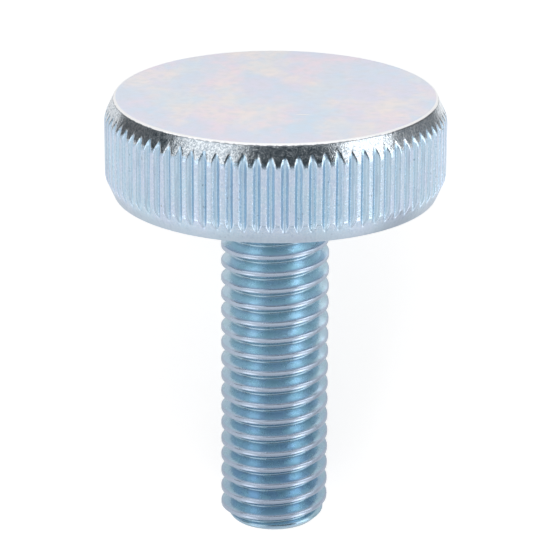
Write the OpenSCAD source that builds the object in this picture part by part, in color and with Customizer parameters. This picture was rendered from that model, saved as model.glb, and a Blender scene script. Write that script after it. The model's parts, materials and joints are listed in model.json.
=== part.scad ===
// Flat knurled thumb screw with a metric thread.
//
// The screw is turned from steel bar in one piece: a flat round head with a
// straight knurl, a relief under the head, and a threaded shank with a
// chamfered point. It is drawn upright on its own axis first, with the
// underside of the head at height zero, and is then laid on its side the way
// it comes to rest: on the lower edge of the knurl and on the crest nearest
// the point. The head then looks along +Y and a little upward, and the origin
// lies on the ground under the middle of the screw.

/* [Head] */
// Diameter over the knurl
head_d = 15.4; // [13:0.1:20]
// Height of the head
head_h = 4.5; // [3.5:0.1:7]
// Width of the upper chamfer along the radius
top_chamfer_w = 0.45; // [0.35:0.05:0.9]
// Height of the upper chamfer
top_chamfer_h = 0.95; // [0.6:0.05:1.2]
// Radius of the rim round the top face
rim_r = 0.2; // [0.05:0.05:0.3]
// Width of the lower chamfer along the radius
bottom_chamfer_w = 0.4; // [0.3:0.05:0.9]
// Height of the lower chamfer
bottom_chamfer_h = 0.9; // [0.6:0.05:1.2]
// Radius of the edge round the underside
bottom_edge_r = 0.1; // [0.05:0.05:0.2]

/* [Knurl] */
// Number of grooves round the head
groove_count = 80; // [60:4:88]
// Width of a groove where it meets the surface
groove_w = 0.35; // [0.2:0.01:0.4]
// Angle between the two sides of a groove
groove_angle = 70; // [65:5:100]
// Radius at the bottom of a groove
groove_root_r = 0.05; // [0.03:0.01:0.08]

/* [Thread] */
// Diameter over the crests
thread_d = 4.95; // [4.5:0.05:8]
// Distance between neighbouring crests
thread_pitch = 0.8; // [0.6:0.05:1]
// Width of the flat on a crest
crest_w = 0.1; // [0.05:0.01:0.15]
// Depth from crest to root
thread_depth = 0.49; // [0.3:0.01:0.5]
// Angle between the two flanks of the thread
thread_angle = 60; // [50:1:62]
// Length from the underside of the head to the end of the point
thread_l = 16; // [10:1:40]
// Height and width of the chamfer at the point
point_chamfer = 0.5; // [0.5:0.05:0.8]

/* [Relief] */
// Diameter of the relief under the head
relief_d = 3.7; // [3:0.05:3.9]
// Length of the relief, up to the first full crest
relief_l = 1.6; // [1.3:0.1:3]
// Radius between the relief and the underside of the head. It ends outside the
// crests, so that a plate lies flat under the head.
relief_fillet_r = 0.65; // [0.4:0.05:0.8]

/* [Hidden] */
$fn = 96;

STEEL = [0.72, 0.79, 0.86];
GROUND_SIDE = 90;   // direction, round the screw's own axis, that ends up below
THREAD_STEPS = 24;  // straight steps in one turn of the thread
BEYOND = 0.05;      // how far a cutter reaches past the surface it cuts

head_r = head_d / 2;
thread_r = thread_d / 2;
relief_r = relief_d / 2;
point_r = thread_r - point_chamfer;
face_r = head_r - top_chamfer_w;
foot_r = head_r - bottom_chamfer_w;

// Centres of the two rounds between a flat face of the head and its chamfer.
// round_in is how far the centre lies inside the corner of the two, and
// outward is the direction at right angles to the chamfer, out of the metal.
function round_in(r, width, rise) = r * tan((90 - atan2(width, rise)) / 2);
function outward(width, rise) = [abs(rise), sign(rise) * width] / norm([width, rise]);
rim_centre = [face_r - round_in(rim_r, top_chamfer_w, top_chamfer_h), head_h - rim_r];
edge_centre = [
    foot_r - round_in(bottom_edge_r, bottom_chamfer_w, bottom_chamfer_h),
    bottom_edge_r,
];

// A groove of the knurl, in a cross-section with the screw's axis at [0, 0].
// Its sides pass the centre of the round at its bottom a little closer than
// the radius, so that they cross the round and don't only touch it.
groove_half = groove_angle / 2;
groove_edge = [groove_w / 2, sqrt(pow(head_r, 2) - pow(groove_w / 2, 2))];
side_gap = 0.95 * groove_root_r;
groove_root = groove_edge[1] - groove_edge[0] / tan(groove_half) + side_gap / sin(groove_half);

// The space between two crests, as points [distance from the axis, height].
// It is cut a little past the crests, so that their flats stay round.
flank_slope = tan(thread_angle / 2);
root_half = (thread_pitch - crest_w) / 2 - thread_depth * flank_slope;
mouth_half = root_half + (thread_depth + BEYOND) * flank_slope;
thread_space = [
    [thread_r - thread_depth, -root_half],
    [thread_r + BEYOND, -mouth_half],
    [thread_r + BEYOND, mouth_half],
    [thread_r - thread_depth, root_half],
];

// How the screw lies. On the ground side the last crest is half a pitch from
// the end of the point, and the chamfer may cut it. The two places that touch
// the ground, as [distance from the axis, height], give the axis its tilt.
crest_near = (thread_pitch - crest_w) / 2;
crest_far = (thread_pitch + crest_w) / 2;
touch_h = min(max(point_chamfer, crest_near), crest_far);
point_touch = [thread_r - max(0, point_chamfer - touch_h), touch_h - thread_l];
head_touch = [groove_edge[1], bottom_chamfer_h];
tilt = atan2(head_touch[0] - point_touch[0], head_touch[1] - point_touch[1]);
lift = head_touch[0] * cos(tilt) - head_touch[1] * sin(tilt);
head_reach = rim_centre[0] * sin(tilt) + rim_centre[1] * cos(tilt) + rim_r;
point_reach = point_r * sin(tilt) + thread_l * cos(tilt);
shift = (point_reach - head_reach) / 2;

// Outline of the head from its axis outward
module head_outline() {
    polygon([
        [0, 0],
        [edge_centre[0], 0],
        edge_centre + bottom_edge_r * outward(bottom_chamfer_w, -bottom_chamfer_h),
        [head_r, bottom_chamfer_h],
        [head_r, head_h - top_chamfer_h],
        rim_centre + rim_r * outward(top_chamfer_w, top_chamfer_h),
        [rim_centre[0], head_h],
        [0, head_h],
    ]);
    translate(rim_centre) circle(rim_r);
    translate(edge_centre) circle(bottom_edge_r);
}

// Cross-section of one groove of the knurl
module groove_section() {
    side = side_gap * [cos(groove_half), -sin(groove_half)];
    mouth = groove_edge + BEYOND * [tan(groove_half), 1];
    polygon([
        [side[0], groove_root + side[1]],
        mouth,
        [-mouth[0], mouth[1]],
        [-side[0], groove_root + side[1]],
    ]);
    translate([0, groove_root]) circle(groove_root_r);
}

// The knurl: straight grooves along the head that fade out on its chamfers,
// the first of them on the ground side
module knurl_grooves() {
    for (i = [0 : groove_count - 1])
        rotate(GROUND_SIDE - 90 + i * 360 / groove_count)
            linear_extrude(head_h) groove_section();
}

// Outline of the relief and of the shank with its point
module shank_outline() {
    polygon([
        [0, BEYOND],
        [relief_r, BEYOND],
        [relief_r, thread_r - relief_r - relief_l],
        [thread_r, -relief_l],
        [thread_r, point_chamfer - thread_l],
        [point_r, -thread_l],
        [0, -thread_l],
    ]);
    difference() {
        translate([0, -relief_fillet_r]) square([relief_r + relief_fillet_r, relief_fillet_r]);
        translate([relief_r + relief_fillet_r, -relief_fillet_r]) circle(relief_fillet_r);
    }
}

// The space between the crests, wound right-handed from below the point up
// into the relief. Each ring of points is one section of it.
module thread_groove() {
    sides = len(thread_space);
    low = -thread_l - thread_pitch;
    turns = (thread_l - relief_l) / thread_pitch + 1.5;
    rings = ceil(turns * THREAD_STEPS);
    points = [
        for (i = [0 : rings], p = thread_space)
            let (turn = GROUND_SIDE + i * 360 / THREAD_STEPS)
                [p[0] * cos(turn), p[0] * sin(turn), low + p[1] + i * thread_pitch / THREAD_STEPS]
    ];
    walls = [
        for (i = [0 : rings - 1], j = [0 : sides - 1])
            let (a = i * sides + j, b = i * sides + (j + 1) % sides)
                each [[a, b, b + sides], [a, b + sides, a + sides]]
    ];
    first = [[0, 2, 1], [0, 3, 2]];
    last = [for (face = [[0, 1, 2], [0, 2, 3]]) [for (k = face) rings * sides + k]];
    polyhedron(points, concat(walls, first, last), convexity = 10);
}

// The screw upright on its own axis, head up
module screw_upright() {
    difference() {
        rotate_extrude() head_outline();
        knurl_grooves();
    }
    difference() {
        rotate_extrude() shank_outline();
        thread_groove();
    }
}

// The screw on its side, at rest on the ground
module thumb_screw() {
    color(STEEL)
        translate([0, shift, lift])
            rotate([tilt - 90, 0, 0])
                screw_upright();
}

thumb_screw();
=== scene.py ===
# %% [markdown]
# A thumb screw, from bare mesh to bright zinc
#
# This is a small screw that is turned by hand: a flat round head with a straight knurl that the
# fingers grip, and a threaded shank, all turned from one steel bar and then zinc plated. The packed
# CAD part is the frame. It says where the screw lies and how large it is, and Blender makes the
# finer form and the finish round it. Every length below is in millimetres on the screw's own
# upright axis, and one matrix turns the finished mesh into the lying screw, in metres.

# %% The frame
import bmesh
import bpy
import json
import math
from mathutils import Matrix, Vector, noise


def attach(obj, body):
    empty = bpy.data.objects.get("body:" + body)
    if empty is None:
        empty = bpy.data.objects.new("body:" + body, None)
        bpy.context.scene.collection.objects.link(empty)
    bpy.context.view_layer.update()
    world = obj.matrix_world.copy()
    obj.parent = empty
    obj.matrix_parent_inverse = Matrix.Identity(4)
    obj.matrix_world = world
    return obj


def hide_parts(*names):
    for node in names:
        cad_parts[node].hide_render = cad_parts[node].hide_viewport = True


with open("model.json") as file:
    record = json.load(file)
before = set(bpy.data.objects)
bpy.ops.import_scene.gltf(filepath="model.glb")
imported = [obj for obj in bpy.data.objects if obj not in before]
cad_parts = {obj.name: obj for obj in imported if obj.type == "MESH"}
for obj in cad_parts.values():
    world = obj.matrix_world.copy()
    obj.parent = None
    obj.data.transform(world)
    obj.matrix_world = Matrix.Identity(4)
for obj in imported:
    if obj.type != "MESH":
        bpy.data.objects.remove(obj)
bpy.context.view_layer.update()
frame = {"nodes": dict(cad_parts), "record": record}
print("frame holds", list(frame["nodes"]))

# %% [markdown]
# The record names the flat faces and the thread of the screw. The two faces give the axis: the top
# face says which way the head looks, and the bearing face how far below it the underside lies.
# Reading them from the record keeps this model on the CAD part even if that part is made larger.

# %% The screw's own axis
MM = 0.001
mounts = {mount["name"]: mount for mount in frame["record"]["mounts"]}
axis = Vector(mounts["top_face"]["axis"])
top_centre = Vector(mounts["top_face"]["pos_m"]) / MM
bearing_point = Vector(mounts["bearing_face"]["pos_m"]) / MM
head_height = (top_centre - bearing_point).dot(axis)
foot_centre = top_centre - axis * head_height
tilt = math.atan2(axis.z, axis.y)
upright_to_lying = Matrix.Translation(foot_centre) @ Matrix.Rotation(tilt - math.pi / 2, 4, "X")
millimetres = Matrix.Scale(MM, 4)
print(f"head {head_height:.2f} mm high, axis raised {math.degrees(tilt):.2f} degrees")

# %% [markdown]
# These are the sizes of the head. They are the same values as in the CAD part, which also shows
# how far the looks may go: inside its box they may add the small rounds that every real edge has,
# because it is the rounds that catch the light. Typing a size once and naming it keeps all that
# follows from it together.

# %% Sizes of head and knurl
head_radius = 7.7
chamfer_width, chamfer_height = 0.45, 0.95
foot_width, foot_height = 0.4, 0.9
rim_round = 0.2
tooth_count = 80
tooth_angle = 2 * math.pi / tooth_count
tooth_half = head_radius * tooth_angle / 2
print(f"a tooth is {2 * tooth_half:.3f} mm wide")

# %% [markdown]
# A knurl is eighty times the same tooth, so only one is modelled. Its cross-section is a flat land
# and a round hollow with soft shoulders, because a knurling wheel presses the metal aside and
# leaves no sharp corner. Two straight cuts in a V would be quicker, but each of their flat sides
# reflects one even stripe, while a curved hollow runs softly from light to dark. The depth across
# the tooth is one small formula: a parabola that is blended into the land.

# %% How deep the groove is
groove_half_width = 0.172
groove_middle = 0.165
shoulder_blend = 0.11


def blend_max(a, b, soft):
    """The larger of two values, with a round of the size `soft` where they meet."""
    gap = max(soft - abs(a - b), 0.0)
    return max(a, b) + gap * gap / (4 * soft)


def groove_depth(across):
    """Depth below the land at a distance from the middle of the groove."""
    hollow = groove_middle * (1 - (across / groove_half_width) ** 2)
    return blend_max(hollow, 0.0, shoulder_blend)


print(f"the groove is {groove_depth(0):.3f} mm deep")

# %% [markdown]
# The tooth starts as a flat grid, and each point of the grid is then moved to its place on the
# head. Columns run across the tooth and stand close together where its section bends. Rows run
# down the head: round the rim, down the upper chamfer, over the edge where this column's own
# groove begins, down the wall, and over the lower chamfer. Because each column leaves the chamfer
# at its own height, the groove ends in the pointed arch that a real knurl has.

# %% Columns across a tooth
half_columns = [0.0, 0.03, 0.06, 0.09, 0.125, 0.147, 0.169, 0.19, 0.21, 0.232, tooth_half]
columns = [-x for x in reversed(half_columns[1:])] + half_columns
closest = min(right - left for left, right in zip(columns, columns[1:]))
print(f"{len(columns)} columns, the closest {closest:.3f} mm apart")

# %% [markdown]
# The rim round the top face is a true arc between the face and the chamfer. The other edges are
# rounded by a parabola, which needs only the corner and the two points where it starts and ends,
# and bends most in its middle, as a worn edge does. A Bevel modifier would round them all alike,
# but here the upper edge is worn far wider than the lower ones.

# %% The rim and the corners
def even_steps(count):
    """Fractions from 0 to 1, both ends included."""
    return [i / count for i in range(count + 1)]


def corner(before, at, after, reach, steps):
    """Points of a round at a corner: a parabola between two points `reach` away from it."""
    start = at + (before - at).normalized() * reach
    end = at + (after - at).normalized() * reach
    return [start.lerp(at, t).lerp(at.lerp(end, t), t) for t in even_steps(steps)]


chamfer_angle = math.atan2(chamfer_width, chamfer_height)
rim_turn = math.pi / 2 - chamfer_angle
rim_inset = rim_round * math.tan(rim_turn / 2)
rim_middle = (head_radius - chamfer_width - rim_inset, head_height - rim_round)
rim_end = (rim_middle[0] + rim_round * math.sin(rim_turn),
           rim_middle[1] + rim_round * math.cos(rim_turn))
print(f"the rim starts {rim_middle[0]:.2f} mm from the axis and ends at {rim_end[0]:.2f} mm")

# %% [markdown]
# A meridian is the outline of the head in one half-plane through its axis, from the top face down
# to the underside. One column of the tooth follows one meridian, and the only thing that differs
# between columns is how deep the wall lies. The wall's two ends follow from that depth, because
# they are where it cuts the two chamfer cones. A Boolean cut of grooves would find the same
# points, but it leaves ragged slivers that shade badly.

# %% The outline down one column
rim_rows = 6
chamfer_rows = 5
edge_rows = 5
wall_rows = 6
top_reach, low_reach, foot_reach = 0.25, 0.06, 0.06
bearing_radius = 2.5


def meridian(depth):
    """Outline of the head (radius, height) down one column whose wall is `depth` below the land."""
    rim = []
    for t in even_steps(rim_rows):
        turn = rim_turn * t
        rim.append(Vector((rim_middle[0] + rim_round * math.sin(turn),
                           rim_middle[1] + rim_round * math.cos(turn))))
    wall = head_radius - depth
    upper = Vector((wall, head_height - chamfer_height + depth * chamfer_height / chamfer_width))
    lower = Vector((wall, foot_height - depth * foot_height / foot_width))
    foot = Vector((head_radius - foot_width, 0.0))
    under = Vector((bearing_radius, 0.0))
    top_edge = corner(rim[-1], upper, lower, top_reach, edge_rows)
    low_edge = corner(upper, lower, foot, low_reach, edge_rows)
    foot_edge = corner(lower, foot, under, foot_reach, edge_rows)
    points = list(rim)
    points += [rim[-1].lerp(top_edge[0], t) for t in even_steps(chamfer_rows)[1:-1]]
    points += top_edge
    points += [top_edge[-1].lerp(low_edge[0], t) for t in even_steps(wall_rows)[1:-1]]
    points += low_edge
    points += [low_edge[-1].lerp(foot_edge[0], t) for t in even_steps(chamfer_rows)[1:-1]]
    points += foot_edge
    return points


row_count = len(meridian(0.0))
print(f"{len(columns)} columns and {row_count} rows in a tooth")

# %% [markdown]
# The grid becomes a tooth here. Its last row is an extra one: it lies on the underside and is
# gathered into its two corners, so that eighty teeth leave a plain ring of eighty edges, which is
# what the shank can be joined to.

# %% One tooth
first_angle = -math.pi / 2
grid_half = 0.5


def at_angle(radius, height, angle):
    """The point at a radius and a height, at an angle round the axis."""
    return Vector((radius * math.cos(angle), radius * math.sin(angle), height))


column_outlines = [meridian(groove_depth(abs(across))) for across in columns]
head = bmesh.new()
bmesh.ops.create_grid(head, x_segments=len(columns) - 1, y_segments=row_count, size=grid_half)
for vert in head.verts:
    column = round((vert.co.x + grid_half) * (len(columns) - 1))
    row = round((grid_half - vert.co.y) * row_count)
    across = columns[column]
    if row < row_count:
        radius, height = column_outlines[column][row]
        vert.co = at_angle(radius, height, first_angle + across / head_radius)
    else:
        side = -1 if across < 0 else 1
        vert.co = at_angle(bearing_radius, 0.0, first_angle + side * tooth_angle / 2)
print(f"tooth: {len(head.faces)} faces")

# %% [markdown]
# Spin copies the tooth round the axis, and remove_doubles sews the copies together along their
# shared columns. An Array modifier round an empty would do too, but it needs a second object, and
# the rest of the screw has to be joined to these points anyway.

# %% Eighty teeth
weld = 1e-4
bmesh.ops.spin(head, geom=head.faces[:] + head.edges[:] + head.verts[:], cent=(0, 0, 0),
               axis=(0, 0, 1), angle=tooth_angle * (tooth_count - 1), steps=tooth_count - 1,
               use_duplicate=True)
bmesh.ops.remove_doubles(head, verts=head.verts[:], dist=weld)
print(f"head: {len(head.verts)} points, {len(head.faces)} faces")

# %% [markdown]
# No knurl is perfect. The wheel wobbles while it rolls, so the teeth wander by a hundredth of a
# millimetre, and a ring without that looks like a drawing. Noise from mathutils moves the points
# of the outer band a little round the axis and inwards. It depends only on the place, so it is the
# same on every run, which loose random numbers wouldn't be.

# %% A little unevenness
sway = 0.014
dent = 0.0006
wander_scale = 1.3
along_share = 0.5
dent_shift = Vector((9, 4, 2))
band_width = 0.4
foot_margin, rim_margin = 0.1, 0.3
moved_count = 0
for vert in head.verts:
    outside = math.hypot(vert.co.x, vert.co.y) > head_radius - band_width
    if outside and foot_margin < vert.co.z < head_height - rim_margin:
        place = Vector((vert.co.x, vert.co.y, vert.co.z * along_share)) * wander_scale
        turn = Matrix.Rotation(sway * noise.noise(place) / head_radius, 3, "Z")
        vert.co = turn @ vert.co * (1 + dent * min(noise.noise(place + dent_shift), 0.0))
        moved_count += 1
print(f"{moved_count} points wander by up to {sway} mm")

# %% [markdown]
# The top face is one flat polygon. It will be shaded flat, on its own, so that the rounded rim
# beside it keeps a crisp end.

# %% The top face
top_edges = [edge for edge in head.edges if edge.is_boundary
             and min(vert.co.z for vert in edge.verts) > head_height - weld]
top_faces = bmesh.ops.contextual_create(head, geom=top_edges)["faces"]
print(f"top face has {len(top_faces[0].verts)} corners")

# %% [markdown]
# The outline of the thread is exactly one pitch tall: half a root, a flank, the crest, a flank and
# half a root. The crest is a small flat with rounded corners and the root is rounded, as a chased
# thread has them, and the flanks between are straight. Only one half is written down, as height
# and depth from the middle of the crest, and then mirrored, so that both flanks stay alike.

# %% The thread's outline
crest_radius = 2.475
thread_depth = 0.49
pitch = 0.8
half_outline = [(pitch / 2, thread_depth), (0.375, 0.486), (0.352, 0.472), (0.331, 0.444),
                (0.302, 0.386), (0.20, 0.195), (0.112, 0.031), (0.095, 0.012), (0.07, 0.002),
                (0.0, 0.0)]
outline = half_outline + [(-rise, depth) for rise, depth in reversed(half_outline[:-1])]
print(f"{len(outline)} points in an outline {outline[0][0] - outline[-1][0]:.1f} mm tall")

# %% [markdown]
# The thread itself is a screw in the plain sense: its outline is spun round the axis while it
# moves one pitch along it. The upper end of each turn then falls on the lower end of the one
# before, and remove_doubles closes the surface. The distance to the first crest is chosen so that
# a quarter turn further on, on the side that will touch the ground, the last crest stands half a
# pitch from the point, as on the CAD part. The Screw modifier does the same in the editor, but
# with the operator the points are there at once, for the cut that follows.

# %% One turn, and twenty of them
turn_steps = 80
turns = 20
pitches_to_first = 1.75
first_crest = -pitches_to_first * pitch

shank = bmesh.new()
corners = [shank.verts.new((crest_radius - depth, 0, rise + first_crest))
           for rise, depth in outline]
sides = [shank.edges.new(pair) for pair in zip(corners, corners[1:])]
bmesh.ops.spin(shank, geom=corners + sides, cent=(0, 0, 0), axis=(0, 0, 1),
               dvec=(0, 0, -pitch / turn_steps), angle=-2 * math.pi, steps=turn_steps)
bmesh.ops.spin(shank, geom=shank.verts[:] + shank.edges[:] + shank.faces[:], cent=(0, 0, 0),
               axis=(0, 0, 1), dvec=(0, 0, -pitch), angle=0.0, steps=turns - 1,
               use_duplicate=True)
bmesh.ops.remove_doubles(shank, verts=shank.verts[:], dist=weld)
print(f"thread: {len(shank.faces)} faces")

# %% [markdown]
# The lathe also turns two cones: the chamfer at the point and the run-out into the relief below
# the head. Both are a limit on the radius, so every point that stands outside it is drawn in to
# it. One flat cut then takes off what is below the point, and a single face closes the end.

# %% Relief, point and the cut
shank_length = 16.0
point_chamfer = 0.5
relief_radius = 1.85
relief_length = 1.6
least_radius = 0.3
cut_snap = 1e-5
flat_margin = 1e-3


def turned_limit(height):
    """The largest radius that the two cones leave at a height."""
    point_cone = crest_radius - point_chamfer + (height + shank_length)
    relief_cone = max(relief_radius, crest_radius - (height + relief_length))
    return max(min(point_cone, relief_cone), least_radius)


for vert in shank.verts:
    radius = math.hypot(vert.co.x, vert.co.y)
    limit = turned_limit(vert.co.z)
    if radius > limit:
        vert.co.x *= limit / radius
        vert.co.y *= limit / radius
bmesh.ops.bisect_plane(shank, geom=shank.verts[:] + shank.edges[:] + shank.faces[:], dist=cut_snap,
                       plane_co=(0, 0, -shank_length), plane_no=(0, 0, 1), clear_inner=True)
point_edges = [edge for edge in shank.edges if edge.is_boundary
               and max(vert.co.z for vert in edge.verts) < flat_margin - shank_length]
bmesh.ops.contextual_create(shank, geom=point_edges)
print(f"shank: {len(shank.faces)} faces, {len(point_edges)} edges round the point")

# %% [markdown]
# Head and shank become one mesh. The ring of eighty edges under the head is extruded down the
# fillet to the relief, and its last ring is bridged to the open end of the shank, so the screw is
# one closed skin.

# %% The fillet, and one closed skin
fillet_radius = bearing_radius - relief_radius
fillet_steps = 6
relief_end = -0.85
fillet_turns = [t * math.pi / 2 for t in even_steps(fillet_steps)[1:]]
fillet_rings = [(bearing_radius - fillet_radius * math.sin(turn),
                 -fillet_radius * (1 - math.cos(turn))) for turn in fillet_turns]
ring = [edge for edge in head.edges if edge.is_boundary]
for radius, height in fillet_rings + [(relief_radius, relief_end)]:
    grown = bmesh.ops.extrude_edge_only(head, edges=ring)["geom"]
    ring = [item for item in grown if isinstance(item, bmesh.types.BMEdge)]
    for vert in {vert for edge in ring for vert in edge.verts}:
        scale = radius / math.hypot(vert.co.x, vert.co.y)
        vert.co = Vector((vert.co.x * scale, vert.co.y * scale, height))
shank_copy = bpy.data.meshes.new("shank_copy")
shank.to_mesh(shank_copy)
shank.free()
head.from_mesh(shank_copy)
bpy.data.meshes.remove(shank_copy)
open_edges = [edge for edge in head.edges if edge.is_boundary]
bmesh.ops.bridge_loops(head, edges=open_edges)
bmesh.ops.recalc_face_normals(head, faces=head.faces[:])
print(f"open edges left: {sum(1 for edge in head.edges if edge.is_boundary)}")

# %% [markdown]
# The mesh is now turned from the upright screw to the lying one, and scaled from millimetres to
# metres, so that its object can stay at the origin, unturned and unscaled. Smooth shading hides
# the facets, and only the large top face stays flat, so that the rim's shading doesn't run out
# over it. attach puts the piece on the body that it moves with, and hide_parts hides the plain
# CAD screw that it stands for.

# %% The finished piece
head.transform(millimetres @ upright_to_lying)
screw_mesh = bpy.data.meshes.new("knurled_thumb_screw")
head.to_mesh(screw_mesh)
head.free()
screw = bpy.data.objects.new("knurled_thumb_screw", screw_mesh)
bpy.context.collection.objects.link(screw)
screw_mesh.shade_smooth()
max(screw_mesh.polygons, key=lambda polygon: polygon.area).use_smooth = False
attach(screw, "root")
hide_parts("thumb_screw")
triangles = sum(len(polygon.vertices) - 2 for polygon in screw_mesh.polygons)
print(f"screw: {triangles} triangles")

# %% [markdown]
# The finish is thin zinc, passivated to a faint blue, and it isn't the same everywhere: the top
# face is the smoothest, the upper chamfer is the roughest cut, and lands and crests are greyer
# than the blue in the hollows. Each finish will be a small net of nodes, and the same few nodes
# are needed again and again, so short helpers add them. The net could also be drawn by hand in
# the editor, but then nobody could read here what it does.

# %% Helpers for nodes
class Nodes:
    """Short ways to add nodes to one tree and link them."""

    def __init__(self, tree):
        self.tree = tree

    def add(self, kind, links=None, values=None, **settings):
        """A new node. Links and values are given by socket, settings by name."""
        made = self.tree.nodes.new(kind)
        for name, value in settings.items():
            setattr(made, name, value)
        for key, value in (values or {}).items():
            made.inputs[key].default_value = value
        for key, output in (links or {}).items():
            self.tree.links.new(output, made.inputs[key])
        return made

    def math(self, operation, *values):
        """An operation on numbers. Each may be a plain number or another node's output."""
        made = self.add("ShaderNodeMath", operation=operation)
        for socket, value in zip(made.inputs, values):
            if isinstance(value, (int, float)):
                socket.default_value = value
            else:
                self.tree.links.new(value, socket)
        return made.outputs[0]

    def measure(self, operation, vector, other=(0, 0, 0)):
        """A number from a vector: its LENGTH, or its DISTANCE or DOT_PRODUCT with another."""
        return self.add("ShaderNodeVectorMath", {0: vector}, {1: other},
                        operation=operation).outputs["Value"]

    def span(self, value, low, high, to_low=0.0, to_high=1.0):
        """A value brought from one range to another, smoothly and clamped."""
        return self.add("ShaderNodeMapRange", {"Value": value},
                        {"From Min": low, "From Max": high, "To Min": to_low, "To Max": to_high},
                        interpolation_type="SMOOTHSTEP").outputs["Result"]

    def mix(self, amount, a, b):
        """A colour between two colours. Either may be a colour or another node's output."""
        made = self.add("ShaderNodeMix", {"Factor": amount}, data_type="RGBA")
        colours = [socket for socket in made.inputs if socket.type == "RGBA"]
        for socket, value in zip(colours, (a, b)):
            if isinstance(value, tuple):
                socket.default_value = (*value, 1)
            else:
                self.tree.links.new(value, socket)
        return next(socket for socket in made.outputs if socket.type == "RGBA")


print("node helpers:", [name for name in vars(Nodes) if not name.startswith("_")])

# %% [markdown]
# All four finishes are one metal, so each is a metallic shader whose colour, roughness and bump
# come from noise in the screw's own millimetres. Pictures wrapped round the screw could do it too,
# but they need an unwrapped mesh and blur when one looks closer. A Mapping node undoes the turn
# that laid the screw down, so height and distance from the axis can be read off the place alone.
# Most of a noise lies between 0.3 and 0.7, so a span that starts from those two uses all of it.

# %% Helpers for metal finishes
to_upright = upright_to_lying.inverted() @ Matrix.Scale(1 / MM, 4)
most_noise = (0.3, 0.7)


class Finish(Nodes):
    """Nodes of one metal finish, with patterns in millimetres on the upright screw."""

    def __init__(self, name):
        self.material = bpy.data.materials.new(name)
        self.material.use_nodes = True
        super().__init__(self.material.node_tree)
        self.shader = self.tree.nodes["Principled BSDF"]
        self.shader.inputs["Metallic"].default_value = 1.0

    def upright(self):
        """Object coordinates, turned and scaled to millimetres on the upright screw."""
        place = self.add("ShaderNodeTexCoord").outputs["Object"]
        turn = upright_to_lying.inverted().to_euler()
        return self.add("ShaderNodeMapping", {"Vector": place},
                        {"Location": to_upright.translation, "Rotation": turn,
                         "Scale": (1 / MM,) * 3}).outputs["Vector"]

    def moved(self, place, by):
        """A place moved by three numbers."""
        return self.add("ShaderNodeMapping", {"Vector": place}, {"Location": by}).outputs[0]

    def scaled(self, place, by):
        """A place multiplied by three numbers."""
        return self.add("ShaderNodeVectorMath", {0: place}, {1: by},
                        operation="MULTIPLY").outputs[0]

    def radius(self, place):
        """Distance from the screw's axis."""
        return self.measure("LENGTH", self.scaled(place, (1, 1, 0)))

    def noise(self, place, per_mm, detail=2.0, stretch=(1, 1, 1), rough=0.5):
        """Noise with about `per_mm` features in a millimetre, stretched along the axes."""
        pulled = self.add("ShaderNodeMapping", {"Vector": place}, {"Scale": stretch}).outputs[0]
        return self.add("ShaderNodeTexNoise", {"Vector": pulled},
                        {"Scale": per_mm, "Detail": detail, "Roughness": rough}).outputs["Fac"]

    def bump(self, height, depth, normal=None):
        """A bump whose full height is `depth` millimetres, on top of another one if given."""
        links = {"Height": height}
        if normal is not None:
            links["Normal"] = normal
        return self.add("ShaderNodeBump", links,
                        {"Strength": 1.0, "Distance": depth * MM}).outputs["Normal"]

    def plug(self, colour, roughness, normal):
        """Link the three outputs that make a finish to its shader."""
        for name, output in (("Base Color", colour), ("Roughness", roughness), ("Normal", normal)):
            self.tree.links.new(output, self.shader.inputs[name])
        print(f"{self.material.name}: {len(self.tree.nodes)} nodes")


print("finish helpers:", [name for name in vars(Finish) if not name.startswith("_")])

# %% [markdown]
# The top face was faced on the lathe and is nearly a mirror. The clear film on the zinc is thinner
# than a wavelength of light, and where its thickness drifts it shows faint lilac, blue, rose and
# cream, as oil on water does. The shader has a thin-film input, but it would need the exact
# thickness at each place. Broad patches of noise between four pale colours are easier to steer.

# %% The faced top's film
faced = Finish("faced_zinc")
place = faced.upright()
lilac, sky = (0.80, 0.80, 0.935), (0.67, 0.83, 0.97)
rose, cream = (0.96, 0.80, 0.87), (0.97, 0.885, 0.83)
mottle_grey = (0.72, 0.75, 0.82)
patches_per_mm, patch_stretch = 0.42, (1, 0.6, 1)
patch_edges, mottle_edges = (0.44, 0.66), (0.40, 0.72)
mottle_strength = 0.4
# colour, how far its pattern is moved aside, and its strength
film_layers = ((sky, 0, 0.85), (rose, 11, 0.75), (cream, 23, 0.75), (sky, 37, 0.6))

film = lilac
for shade, shift, strength in film_layers:
    shifted = faced.moved(place, (shift, shift / 2, 3))
    patch = faced.noise(shifted, patches_per_mm, detail=4.0, stretch=patch_stretch, rough=0.55)
    film = faced.mix(faced.span(patch, *patch_edges, to_high=strength), film, shade)
mottle = faced.noise(place, per_mm=3.0, detail=3.0, rough=0.6)
film = faced.mix(faced.span(mottle, *mottle_edges, to_high=mottle_strength), film, mottle_grey)
print(f"{len(film_layers)} layers of patches over lilac")

# %% [markdown]
# Three small things finish the face: one short scratch, whose near-white colour is a painted glint,
# a painted highlight on the ring where the rim bends away, and a thin ragged line where the
# chamfer's cut begins. Each is a mask from a distance, to the scratch or to the axis, because a
# distance stays exact at any zoom. The line's raggedness is noise that is added to the distance
# before it is compared.

# %% Scratch, rim and the cut's edge on the faced top
scratch_shift, scratch_shape = (-1.27, 3.03, 0), (2.6, 14, 0)
scratch_glint_white, painted_rim_highlight = (0.97, 0.98, 1.0), (0.97, 0.975, 0.985)
cut_grey = (0.25, 0.29, 0.33)
scratch_edges = (1.1, 0.5)
rim_bend = (rim_middle[0] + 0.035, rim_middle[0] + 0.075)
cut_edges = (rim_end[0] - 0.026, rim_end[0] - 0.014)
scratch_strength, cut_strength = 0.8, 0.9
raggedness = 0.012
faced_roughness = (0.10, 0.18)
wave_depth, scratch_depth = 0.0005, -0.004

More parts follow.
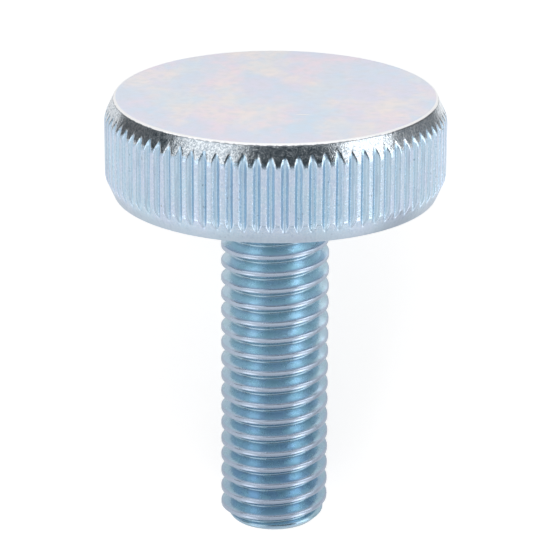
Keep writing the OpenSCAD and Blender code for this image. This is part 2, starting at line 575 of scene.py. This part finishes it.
from_scratch = faced.scaled(faced.moved(place, scratch_shift), scratch_shape)
scratch = faced.span(faced.measure("LENGTH", from_scratch), *scratch_edges)
# the scratch itself is real; its near-white colour is a painted glint
colour = faced.mix(faced.math("MULTIPLY", scratch, scratch_strength), film, scratch_glint_white)
from_axis = faced.radius(place)
# painted highlight: the ring where the rim bends away is made near-white
colour = faced.mix(faced.span(from_axis, *rim_bend), colour, painted_rim_highlight)
ragged = faced.noise(place, per_mm=6.0, detail=3.0)
ragged = faced.span(ragged, *most_noise, -raggedness, raggedness)
cut_line = faced.span(faced.math("ADD", from_axis, ragged), *cut_edges, to_high=cut_strength)
colour = faced.mix(cut_line, colour, cut_grey)
rough = faced.span(faced.noise(place, per_mm=4.0, detail=3.0), *most_noise, *faced_roughness)
waves = faced.noise(place, per_mm=5.0, detail=3.0)
faced.plug(colour, rough, faced.bump(waves, wave_depth, faced.bump(scratch, scratch_depth)))

# %% [markdown]
# The upper chamfer was cut with some chatter, and it is the liveliest surface: a mirror broken
# into grains, dark where it looks at dark things and blazing where it meets a lamp. To model each
# grain would take a hundred thousand faces. Two bumps do it instead, a wide one that bends the
# reflection and a fine one that breaks it up, with a speckled colour below them.

# %% The cut chamfer
chamfered = Finish("cut_chamfer_zinc")
place = chamfered.upright()
speck_dark, speck_bright = (0.44, 0.50, 0.56), (0.84, 0.89, 0.93)
speck_edges = (0.38, 0.62)
chamfer_roughness = (0.14, 0.24)
chatter_depth, grain_depth = 0.009, 0.006

speck = chamfered.span(chamfered.noise(place, per_mm=11.0, rough=0.7), *speck_edges)
colour = chamfered.mix(speck, speck_dark, speck_bright)
rough = chamfered.span(chamfered.noise(place, per_mm=5.0), *most_noise, *chamfer_roughness)
chatter = chamfered.noise(place, per_mm=3.5)
grain = chamfered.noise(place, per_mm=17.0)
bumps = chamfered.bump(chatter, chatter_depth, chamfered.bump(grain, grain_depth))
chamfered.plug(colour, rough, bumps)

# %% [markdown]
# On the knurl the colour follows the depth. The lands are rubbed to a greyer lilac, and the zinc
# in the grooves stays blue; a darker bottom and a thin dark line along each shoulder are painted
# shade.
# Painting that would need a picture, but the distance from the axis already tells how far a point
# lies below the land, on the straight wall and on the cone of the foot alike.

# %% Lands and grooves of the knurl
knurled = Finish("knurled_zinc")
place = knurled.upright()
land_lilac, land_violet = (0.56, 0.725, 0.86), (0.61, 0.705, 0.87)
groove_blue, groove_pale = (0.60, 0.785, 0.91), (0.615, 0.76, 0.915)
painted_bottom_shade, painted_shoulder_shade = (0.43, 0.61, 0.76), (0.33, 0.45, 0.57)
foot_blend = 0.24
tint_edges, groove_edges, bottom_edges = (0.35, 0.65), (0.012, 0.035), (0.06, 0.15)
shoulder_start, shoulder_stop = (0.010, 0.024), (0.070, 0.040)
bottom_strength, shoulder_strength = 0.8, 0.4

height = knurled.add("ShaderNodeSeparateXYZ", {0: place}).outputs["Z"]
foot_cone = knurled.math("ADD", knurled.math("MULTIPLY", height, foot_width / foot_height),
                         head_radius - foot_width)
land = knurled.math("SMOOTH_MIN", foot_cone, head_radius, foot_blend)
below_land = knurled.math("SUBTRACT", land, knurled.radius(place))
tint = knurled.span(knurled.noise(place, per_mm=0.6), *tint_edges)
lands = knurled.mix(tint, land_lilac, land_violet)
grooves = knurled.mix(tint, groove_blue, groove_pale)
# painted shade: the bottom of each groove is made darker
bottom_shade = knurled.span(below_land, *bottom_edges, to_high=bottom_strength)
grooves = knurled.mix(bottom_shade, grooves, painted_bottom_shade)
in_groove = knurled.span(below_land, *groove_edges)
knurl_colour = knurled.mix(in_groove, lands, grooves)
# painted shade: a thin dark line along each shoulder of a groove
shoulder = knurled.math("MULTIPLY", knurled.span(below_land, *shoulder_start),
                        knurled.span(below_land, *shoulder_stop))
shoulder = knurled.math("MULTIPLY", shoulder, shoulder_strength)
knurl_colour = knurled.mix(shoulder, knurl_colour, painted_shoulder_shade)
print(f"{len(knurled.tree.nodes)} nodes tell the lands from the grooves")

# %% [markdown]
# The rest is what the work leaves behind. Streaks run along the teeth, the way that the wheel
# pressed them, a fine pale grit lies mostly on the lands, a few pits are left in the plating, and
# the foot is duller. Streaks are plain noise that is stretched along the axis. Bumps of the same
# noises go with the colours, so that a streak is also felt by the light.

# %% Streaks, grit and pits of the knurl
streak_blue, grit_pale = (0.44, 0.56, 0.70), (0.82, 0.88, 0.94)
foot_dull, pit_dark = (0.49, 0.575, 0.66), (0.30, 0.36, 0.42)
streak_edges, grit_edges, pit_edges = (0.48, 0.72), (0.42, 0.66), (0.27, 0.21)
foot_colour_fade, foot_rough_fade = (0.75, 0.1), (0.95, 0.4)
streak_strength, foot_strength, pit_strength = 0.6, 0.65, 0.65
grit_on_land, grit_in_groove = 0.38, 0.15
knurl_roughness, foot_roughness = (0.18, 0.30), 0.1
streak_depth, grit_depth, pit_depth = 0.010, 0.008, -0.010

streak = knurled.noise(place, per_mm=7.0, detail=3.0, stretch=(1, 1, 0.12))
streak_shown = knurled.span(streak, *streak_edges, to_high=streak_strength)
colour = knurled.mix(streak_shown, knurl_colour, streak_blue)
grit = knurled.noise(place, per_mm=11.0)
grit_shown = knurled.math("MULTIPLY", knurled.span(grit, *grit_edges),
                          knurled.span(in_groove, 0.0, 1.0, grit_on_land, grit_in_groove))
colour = knurled.mix(grit_shown, colour, grit_pale)
on_foot = knurled.span(height, *foot_colour_fade, to_high=foot_strength)
colour = knurled.mix(on_foot, colour, foot_dull)
pits = knurled.span(knurled.noise(place, per_mm=7.0, detail=1.0), *pit_edges)
colour = knurled.mix(knurled.math("MULTIPLY", pits, pit_strength), colour, pit_dark)
rough = knurled.math("ADD", knurled.span(streak, *most_noise, *knurl_roughness),
                     knurled.span(height, *foot_rough_fade, to_high=foot_roughness))
bumps = knurled.bump(grit, grit_depth, knurled.bump(pits, pit_depth))
knurled.plug(colour, rough, knurled.bump(streak, streak_depth, bumps))

# %% [markdown]
# The thread has the deepest blue, because its flanks see each other and tint the light twice, and
# its crests are rubbed grey. Its roots are darker, which is painted shade. Distance from the axis
# finds the crests and the roots here too, so no face needs to be picked by hand, and height makes
# the colour deeper towards the point.

# %% The thread
threaded = Finish("threaded_zinc")
place = threaded.upright()
upper_blue, lower_blue = (0.51, 0.67, 0.785), (0.36, 0.51, 0.65)
blotch_green, painted_root_shade = (0.42, 0.62, 0.68), (0.26, 0.36, 0.46)
upper_grey, lower_grey = (0.47, 0.56, 0.68), (0.42, 0.50, 0.62)
shank_fade, blotch_edges = (-4.0, -14.5), (0.35, 0.65)
crest_edges, root_edges = (2.37, 2.45), (2.14, 2.02)
blotch_strength, root_strength = 0.55, 0.35
thread_roughness = (0.22, 0.30)
orange_peel_depth = 0.004

height = threaded.add("ShaderNodeSeparateXYZ", {0: place}).outputs["Z"]
from_axis = threaded.radius(place)
toward_point = threaded.span(height, *shank_fade)
colour = threaded.mix(toward_point, upper_blue, lower_blue)
blotch = threaded.noise(place, per_mm=1.6, detail=3.0, stretch=(1, 1, 1.5))
blotch_shown = threaded.span(blotch, *blotch_edges, to_high=blotch_strength)
colour = threaded.mix(blotch_shown, colour, blotch_green)
# painted shade: the thread's roots are made darker
root_shade = threaded.span(from_axis, *root_edges, to_high=root_strength)
colour = threaded.mix(root_shade, colour, painted_root_shade)
crests = threaded.mix(toward_point, upper_grey, lower_grey)
colour = threaded.mix(threaded.span(from_axis, *crest_edges), colour, crests)
rough = threaded.span(blotch, *most_noise, *thread_roughness)
orange_peel = threaded.noise(place, per_mm=7.0, detail=3.0)
threaded.plug(colour, rough, threaded.bump(orange_peel, orange_peel_depth))

# %% [markdown]
# One skin carries the four finishes. Each face takes its material by where it lies on the upright
# screw. Masks inside a single material could do the same, but a mask is soft, and the jagged
# border between the chamfer and the grooves is the crispest line on the whole screw.

# %% Which faces get which finish
cone_slack = 0.012
under_head = -0.01
finishes = [knurled, faced, chamfered, threaded]
for finish in finishes:
    screw_mesh.materials.append(finish.material)
counts = dict.fromkeys((finish.material.name for finish in finishes), 0)
for polygon in screw_mesh.polygons:
    centre = to_upright @ polygon.center
    radius = math.hypot(centre.x, centre.y)
    cone = head_radius - (centre.z - head_height + chamfer_height) * chamfer_width / chamfer_height
    finish = knurled
    if centre.z > rim_end[1] - flat_margin:
        finish = faced
    elif centre.z > head_height - chamfer_height and radius > cone - cone_slack:
        finish = chamfered
    elif centre.z < under_head:
        finish = threaded
    polygon.material_index = finishes.index(finish)
    counts[finish.material.name] += 1
print("faces of each finish:", counts)

# %% [markdown]
# The floor is one pale sheet of paper. The camera should see it white, but a floor that is lit
# until it is white also washes out the metal. So it has two parts: a grey paper that catches the
# shadow, and a glow for the camera's rays. Mirror rays get a weaker glow, with a painted pool of
# light under the head in place of light bouncing between paper and metal, and a painted shadow
# beside the shank; both show only in the metal's reflections.

# %% The floor's paper
paper = bpy.data.materials.new("pale_paper")
paper.use_nodes = True
paper.node_tree.nodes.clear()
sheet = Nodes(paper.node_tree)
paper_grey, glow_tint = (0.6, 0.6, 0.605, 1), (1.0, 0.985, 0.965, 1)
camera_glow, mirror_glow = 0.645, 0.41
painted_light_spot, bounce_reach = (0.0093, 0.0070, 0), (0.0045, 0.0012)
painted_shadow_spot, shade_reach = (0.018, -0.010, 0), (0.004, 0.011)

path = sheet.add("ShaderNodeLightPath").outputs
spot = sheet.add("ShaderNodeTexCoord").outputs["Object"]
# a painted pool of light near the head and a painted shadow beside the shank, for mirror rays
from_bounce = sheet.measure("DISTANCE", spot, painted_light_spot)
from_shade = sheet.measure("DISTANCE", spot, painted_shadow_spot)
bounce = sheet.math("MULTIPLY", sheet.span(from_bounce, *bounce_reach, to_low=mirror_glow),
                    sheet.span(from_shade, *shade_reach))
seen = sheet.math("ADD", sheet.math("MULTIPLY", path["Is Camera Ray"], camera_glow),
                  sheet.math("MULTIPLY", path["Is Glossy Ray"], bounce))
diffuse = sheet.add("ShaderNodeBsdfDiffuse", values={"Color": paper_grey}).outputs[0]
glow = sheet.add("ShaderNodeEmission", {"Strength": seen}, {"Color": glow_tint}).outputs[0]
both = sheet.add("ShaderNodeAddShader", {0: diffuse, 1: glow}).outputs[0]
sheet.add("ShaderNodeOutputMaterial", {"Surface": both})
print("the paper has", len(paper.node_tree.nodes), "nodes")

# %% [markdown]
# The sheet itself is a single square, metres wide under a screw of two centimetres, so that its
# edge is never near. A backdrop with a swept corner is usual for larger things, but here the
# camera looks down and meets only the sheet.

# %% The floor
floor_half = 3.0
floor_bmesh = bmesh.new()
bmesh.ops.create_grid(floor_bmesh, x_segments=1, y_segments=1, size=floor_half)
floor_mesh = bpy.data.meshes.new("floor")
floor_bmesh.to_mesh(floor_mesh)
floor_bmesh.free()
floor_mesh.materials.append(paper)
floor = bpy.data.objects.new("floor", floor_mesh)
bpy.context.collection.objects.link(floor)
print("floor is", floor.dimensions.x, "m wide")

# %% [markdown]
# Polished metal shows little of its own. Nearly all that one sees in it is the room, so the room
# is a part of the finish. Panels could stand there, but a world whose brightness depends only on
# direction is smooth, costs no time to render and stays put when the camera moves. Directions are
# given as the upright screw sees them, and two of them measure every ray: how far it points along
# the axis to the head, and how far to the front.

# %% Directions round the screw
turn_only = upright_to_lying.to_3x3()


def direction(azimuth, elevation):
    """A direction from the upright screw: azimuth 0 is its front, elevation is towards the head."""
    a, e = math.radians(azimuth), math.radians(elevation)
    return turn_only @ Vector((math.sin(a) * math.cos(e), -math.cos(a) * math.cos(e), math.sin(e)))


headward, frontward = direction(0, 90), direction(0, 0)
world = bpy.data.worlds.new("studio")
bpy.context.scene.world = world
world.use_nodes = True
world.node_tree.nodes.clear()
room = Nodes(world.node_tree)
ray = room.add("ShaderNodeTexCoord").outputs["Generated"]
along = room.measure("DOT_PRODUCT", ray, headward)
front = room.measure("DOT_PRODUCT", ray, frontward)
print("the head looks along", [round(part, 3) for part in headward])

# %% [markdown]
# The room is a bright tent, a little greyer in front. A dark gap above the middle gives the dark
# stretches of the chamfer, a grey band low down gives the thread its shade, two bright places low
# on both sides give the streaks along the shank, and a bright lid lights the top face. The camera
# itself sees plain white behind everything. Each is a smooth step in one or two directions, and
# they are laid over each other like sheets of glass.

# %% The studio round the screw
white, front_grey, gap_dark = (1.0, 1.0, 1.0), (0.84, 0.84, 0.85), (0.06, 0.072, 0.08)
band_grey, lid_white = (0.58, 0.59, 0.61), (1.03, 1.03, 1.03)
lid_lean = 0.25
to_back = (-0.2, -0.6)
gap_floor, gap_ceiling, gap_back = (0.02, 0.16), (0.55, 0.45), (-0.54, -0.34)
band_ceiling, band_floor = (-0.42, -0.58), (-0.90, -0.78)
lid_floor, lid_back = (0.50, 0.58), (-0.90, -0.75)
# azimuth, elevation, angles of the outer and the inner edge, and level
side_lights = ((-57, -38, 19, 8, 1.75), (64, -36, 17, 8, 2.6))

above = room.math("SUBTRACT", along, room.math("MULTIPLY", front, lid_lean))
studio = room.mix(room.span(front, *to_back), front_grey, white)
gap = room.math("MULTIPLY", room.span(along, *gap_floor), room.span(above, *gap_ceiling))
gap = room.math("MULTIPLY", gap, room.span(front, *gap_back))
studio = room.mix(gap, studio, gap_dark)
band = room.math("MULTIPLY", room.span(along, *band_ceiling), room.span(along, *band_floor))
studio = room.mix(band, studio, band_grey)
for azimuth, elevation, outer_angle, inner_angle, level in side_lights:
    toward = room.measure("DOT_PRODUCT", ray, direction(azimuth, elevation))
    outer, inner = math.cos(math.radians(outer_angle)), math.cos(math.radians(inner_angle))
    studio = room.mix(room.span(toward, outer, inner), studio, (level, level, level))
lid = room.math("MULTIPLY", room.span(above, *lid_floor), room.span(front, *lid_back))
studio = room.mix(lid, studio, lid_white)
shown = room.mix(room.add("ShaderNodeLightPath").outputs["Is Camera Ray"], studio, white)
background = room.add("ShaderNodeBackground", {"Color": shown}, {"Strength": 1.0}).outputs[0]
room.add("ShaderNodeOutputWorld", {"Surface": background})
print("the studio has", len(world.node_tree.nodes), "nodes")

# %% [markdown]
# Two soft lamps stand to the left and right. They light the bright stretches of the chamfer and
# cast the faint shadow on the floor. A lamp's size is given as the angle that it fills as seen from
# the screw, because that is how wide its reflection is, and its power follows from its area, so
# that a wider lamp is no brighter. The world alone could light the screw, but then it would have
# no shadow.

# %% Two softboxes
lamp_distance = 0.5


def softbox(name, azimuth, elevation, width, height, brightness):
    """A rectangular lamp that looks at the screw; its height runs along the screw's axis."""
    lamp = bpy.data.lights.new(name, "AREA")
    lamp.shape = "RECTANGLE"
    lamp.size = 2 * lamp_distance * math.tan(math.radians(width / 2))
    lamp.size_y = 2 * lamp_distance * math.tan(math.radians(height / 2))
    lamp.energy = brightness * math.pi * lamp.size * lamp.size_y
    box = bpy.data.objects.new(name, lamp)
    bpy.context.collection.objects.link(box)
    out = direction(azimuth, elevation)
    side = out.cross(headward).normalized()
    turned = Matrix((side, out.cross(-side), out)).transposed().to_4x4()
    box.matrix_world = Matrix.Translation(out * lamp_distance) @ turned
    box.visible_camera = False
    print(f"{name}: {lamp.size:.2f} by {lamp.size_y:.2f} m, {lamp.energy:.2f} W")


softbox("left_softbox", azimuth=-47, elevation=20, width=43, height=44, brightness=1.0)
softbox("right_softbox", azimuth=67.5, elevation=16.5, width=36.5, height=37, brightness=1.75)

# %% [markdown]
# Dark cards beside a shiny thing draw its edges. Two grey cards do that for the ends of the
# chamfer, which look past the world's dark gap at the floor. Each is one plane that only mirror
# rays can see, so it casts no shadow and never comes into view. A darker patch in the floor would
# give the same reflection, but it would show.

# %% Two flags
def flag(name, across, near_end, far_end, low, high, shade):
    """A card that stands beside the screw and shows only in reflections, as a dark edge."""
    cardboard = bpy.data.materials.new(name)
    cardboard.use_nodes = True
    cardboard.node_tree.nodes.clear()
    nodes = Nodes(cardboard.node_tree)
    dull = nodes.add("ShaderNodeBsdfDiffuse", values={"Color": (shade, shade, shade, 1)})
    nodes.add("ShaderNodeOutputMaterial", {"Surface": dull.outputs[0]})
    card = bmesh.new()
    bmesh.ops.create_grid(card, x_segments=1, y_segments=1, size=grid_half)
    card.transform(Matrix.Rotation(math.pi / 2, 4, "Y"))
    card.transform(Matrix.Diagonal((1, far_end - near_end, high - low, 1)))
    card.transform(Matrix.Translation((across, (near_end + far_end) / 2, (low + high) / 2)))
    card.transform(millimetres)
    card_mesh = bpy.data.meshes.new(name)
    card.to_mesh(card_mesh)
    card.free()
    card_mesh.materials.append(cardboard)
    placed = bpy.data.objects.new(name, card_mesh)
    bpy.context.collection.objects.link(placed)
    for ray_kind in ("camera", "diffuse", "transmission", "shadow"):
        setattr(placed, f"visible_{ray_kind}", False)
    print(f"{name}: {far_end - near_end:.1f} by {high - low:.1f} mm")


flag("left_flag", across=-17, near_end=8.7, far_end=13.2, low=3.0, high=13.8, shade=0.17)
flag("right_flag", across=14, near_end=8.9, far_end=14.3, low=0.5, high=13.5, shade=0.41)

# %% [markdown]
# The camera looks down on the lying screw from in front. Its place is given on the upright screw,
# as a distance and a rise above the underside of the head, and then turned with the same matrix
# as the mesh. A long lens from far off keeps the perspective weak, which suits a small thing; a
# short lens up close would make the head bulge towards the viewer.

# %% The camera
camera_distance = 134.60
camera_rise = math.radians(18.512)
camera_pitch = math.radians(20.156)
camera_roll = math.radians(0.289)
camera_turn = math.radians(1.5)
camera_data = bpy.data.cameras.new("camera")
camera_data.lens = 194.42
camera_data.sensor_width = 36.0
camera_data.clip_start = 0.005
camera_data.clip_end = 10.0
camera = bpy.data.objects.new("camera", camera_data)
bpy.context.collection.objects.link(camera)
stand = Matrix.Translation((0, -camera_distance * math.cos(camera_rise),
                            camera_distance * math.sin(camera_rise)))
look = Matrix.Rotation(math.pi / 2 - camera_pitch, 4, "X") @ Matrix.Rotation(camera_roll, 4, "Z")
pose = upright_to_lying @ Matrix.Rotation(camera_turn, 4, "Z") @ stand @ look
camera.matrix_world = Matrix.Translation(pose.translation * MM) @ pose.to_3x3().to_4x4()
bpy.context.scene.camera = camera
bpy.context.scene.view_settings.view_transform = "Standard"
print("camera at", [round(v, 4) for v in camera.location])

# %% [markdown]
# The looks must not outgrow the CAD part.
